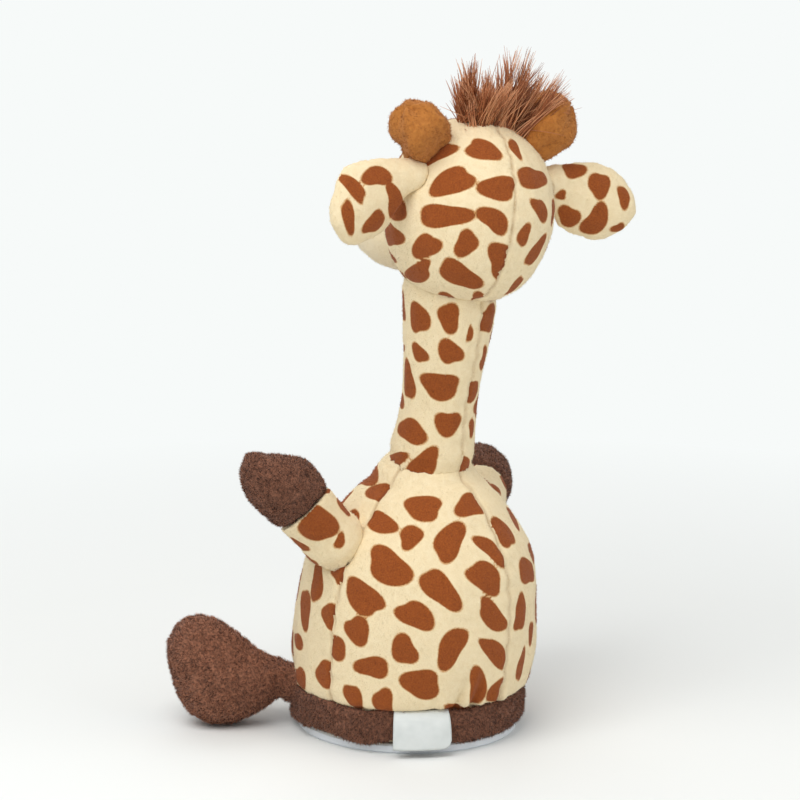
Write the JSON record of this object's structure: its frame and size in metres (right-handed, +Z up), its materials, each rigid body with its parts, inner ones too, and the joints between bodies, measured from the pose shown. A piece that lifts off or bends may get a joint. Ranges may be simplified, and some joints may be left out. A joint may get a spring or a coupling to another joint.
{
  "type": "animated plush giraffe",
  "caption": "Seated plush giraffe on a hard base: a motor rocks its long neck from a crank in the body, and ears, arms and feet flop on their seams.",
  "frame": {"origin": "centre of the bounding box in plan, on the surface that the base plate stands on", "axes": "+Z up, -Y the way the body faces, +X towards the giraffe's left"},
  "size_m": [0.1292, 0.1078, 0.2176],
  "materials": {
    "spotted_plush": "short-pile plush, cream with printed reddish-brown spots",
    "brown_plush": "longer-pile dark brown plush",
    "horn_plush": "golden-brown short-pile plush",
    "cream_plush": "cream short-pile plush",
    "hair_fibre": "loose reddish-brown fibre",
    "label_tape": "white woven tape",
    "base_plastic": "pale blue-grey moulded plastic, fine texture",
    "housing_plastic": "off-white moulded plastic",
    "gear_plastic": "off-white acetal",
    "black_plastic": "black moulded plastic",
    "speaker_body": "black pressed steel and card",
    "steel": "plated steel",
    "contact_metal": "nickel-plated spring steel",
    "cell_can": "plain wrapped can",
    "motor_can": "plated can",
    "circuit": "green laminate with parts"
  },
  "bodies": {
    "base": {"base_plate": "base_plastic", "battery_cell_1": "cell_can", "battery_cell_2": "cell_can", "battery_cell_3": "cell_can", "contact_front": "contact_metal", "contact_rear": "contact_metal", "housing_screw_1": "steel", "housing_screw_2": "steel", "housing_screw_3": "steel", "housing_screw_4": "steel", "switch_housing": "black_plastic", "housing_front": "housing_plastic", "housing_rear": "housing_plastic", "seam_screw_left": "steel", "seam_screw_right": "steel", "speaker": "speaker_body", "microphone": "steel", "circuit_board": "circuit", "gearbox_frame": "housing_plastic", "motor": "motor_can", "pivot_pin": "steel", "compound_axle": "steel", "crank_axle": "steel", "body_cover": "spotted_plush", "hem_band": "brown_plush", "care_label": "label_tape"},
    "crank": {"crank_wheel": "gear_plastic"},
    "compound": {"compound_wheel": "gear_plastic"},
    "worm_drive": {"worm": "gear_plastic", "motor_shaft": "steel"},
    "door": {"battery_door": "base_plastic", "door_screw": "steel"},
    "switch": {"switch_knob": "black_plastic"},
    "neck": {"neck_rocker": "gear_plastic", "neck_tube": "housing_plastic", "head_disc": "housing_plastic", "neck_cover": "spotted_plush", "head_cover": "spotted_plush", "muzzle": "cream_plush", "hair_tuft": "hair_fibre", "horn_left": "horn_plush", "horn_right": "horn_plush", "eye_left": "black_plastic", "eye_right": "black_plastic"},
    "ear_left_body": {"ear_left": "spotted_plush"},
    "ear_right_body": {"ear_right": "spotted_plush"},
    "arm_left": {"sleeve_left": "spotted_plush", "hoof_left": "brown_plush"},
    "arm_right": {"sleeve_right": "spotted_plush", "hoof_right": "brown_plush"},
    "foot_left_body": {"foot_left": "brown_plush"},
    "foot_right_body": {"foot_right": "brown_plush"}
  },
  "joints": [
    {"name": "neck_rock", "type": "hinge", "parent": "base", "child": "neck", "pos_m": [0.00096, 0.01106, 0.076], "axis": [1, 0, 0], "range_deg": [-2.5, 20]},
    {"name": "crank_turn", "type": "hinge", "parent": "base", "child": "crank", "pos_m": [0.00096, 0.01106, 0.062], "axis": [1, 0, 0], "range_deg": [-16.5, 128.5]},
    {"name": "compound_turn", "type": "hinge", "parent": "base", "child": "compound", "pos_m": [0.00096, 0.01106, 0.04985], "axis": [1, 0, 0], "range_deg": [-386, 50]},
    {"name": "worm_turn", "type": "hinge", "parent": "base", "child": "worm_drive", "pos_m": [0.00096, 0.01106, 0.0395], "axis": [0, 1, 0], "range_deg": [-1155, 9220]},
    {"name": "ear_left_flop", "type": "hinge", "parent": "neck", "child": "ear_left_body", "pos_m": [0.02124, 0.02653, 0.18196], "axis": [-0.1392, -0.9903, 0], "range_deg": [-20, 15], "stiffness_Nm_per_rad": 0.004},
    {"name": "ear_right_flop", "type": "hinge", "parent": "neck", "child": "ear_right_body", "pos_m": [-0.02507, 0.03894, 0.17523], "axis": [0.3746, 0.9272, 0], "range_deg": [-20, 15], "stiffness_Nm_per_rad": 0.004},
    {"name": "arm_left_swing", "type": "hinge", "parent": "base", "child": "arm_left", "pos_m": [0.03171, 0.00407, 0.064], "axis": [-0.2079, -0.9781, 0], "range_deg": [-35, 15], "stiffness_Nm_per_rad": 0.02},
    {"name": "arm_right_swing", "type": "hinge", "parent": "base", "child": "arm_right", "pos_m": [-0.02979, 0.00407, 0.064], "axis": [-0.682, 0.7314, 0], "range_deg": [-12, 40], "stiffness_Nm_per_rad": 0.02},
    {"name": "foot_left_lift", "type": "hinge", "parent": "base", "child": "foot_left_body", "pos_m": [0.02684, -0.02139, 0.0135], "axis": [-0.7071, -0.7071, 0], "range_deg": [0, 20], "stiffness_Nm_per_rad": 0.02},
    {"name": "foot_right_lift", "type": "hinge", "parent": "base", "child": "foot_right_body", "pos_m": [-0.02492, -0.02139, 0.0135], "axis": [-0.7071, 0.7071, 0], "range_deg": [0, 20], "stiffness_Nm_per_rad": 0.02},
    {"name": "door_slide", "type": "slide", "parent": "base", "child": "door", "axis": [0, 0, -1], "range_m": [0, 0.015]},
    {"name": "switch_slide", "type": "slide", "parent": "base", "child": "switch", "axis": [0, 1, 0], "range_m": [0, 0.003]}
  ],
  "couplings": [
    {"joint": "crank_turn", "follows": "neck_rock", "ratio": 6.4},
    {"joint": "compound_turn", "follows": "neck_rock", "ratio": -19.2},
    {"joint": "worm_turn", "follows": "neck_rock", "ratio": 460.8}
  ]
}
